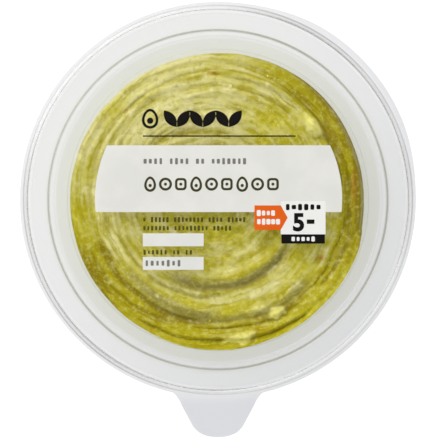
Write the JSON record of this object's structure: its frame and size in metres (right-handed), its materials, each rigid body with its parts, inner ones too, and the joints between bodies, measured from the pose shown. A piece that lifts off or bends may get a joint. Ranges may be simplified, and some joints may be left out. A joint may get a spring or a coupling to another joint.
{
  "type": "tub of guacamole",
  "caption": "Shut round clear tub of swirled guacamole, with a press-on lid with a grip tab and a clear round label that carries plain printed fields.",
  "frame": {"origin": "middle of the tub's flat underside, which is also the point below the middle of the lid", "axes": "+Z up; -Y towards the lid's grip tab, so that the label is read with +Y up; +X to the label's right"},
  "size_m": [0.1196, 0.1315, 0.0377],
  "materials": {
    "tub_plastic": "clear thermoformed sheet, glossy, a little grey",
    "lid_plastic": "clear thermoformed sheet, glossy, with a faint cool grey cast",
    "guacamole": "moist yellow-green paste in a spooned swirl, with pale bits and olive creases",
    "label_film": "clear self-adhesive film with a slight haze",
    "print_pale": "satin pale grey-white ink",
    "print_white": "satin white ink",
    "print_orange": "satin orange-red ink",
    "print_dark": "satin near-black ink"
  },
  "bodies": {
    "root": {"tub": "tub_plastic", "guacamole": "guacamole", "lid": "lid_plastic", "label_film": "label_film", "label_band": "print_pale", "label_rule": "print_dark", "label_field_1": "print_pale", "label_field_2": "print_pale", "flash_arrow": "print_orange", "flash_panel": "print_white", "flash_bar": "print_dark"}
  },
  "joints": []
}
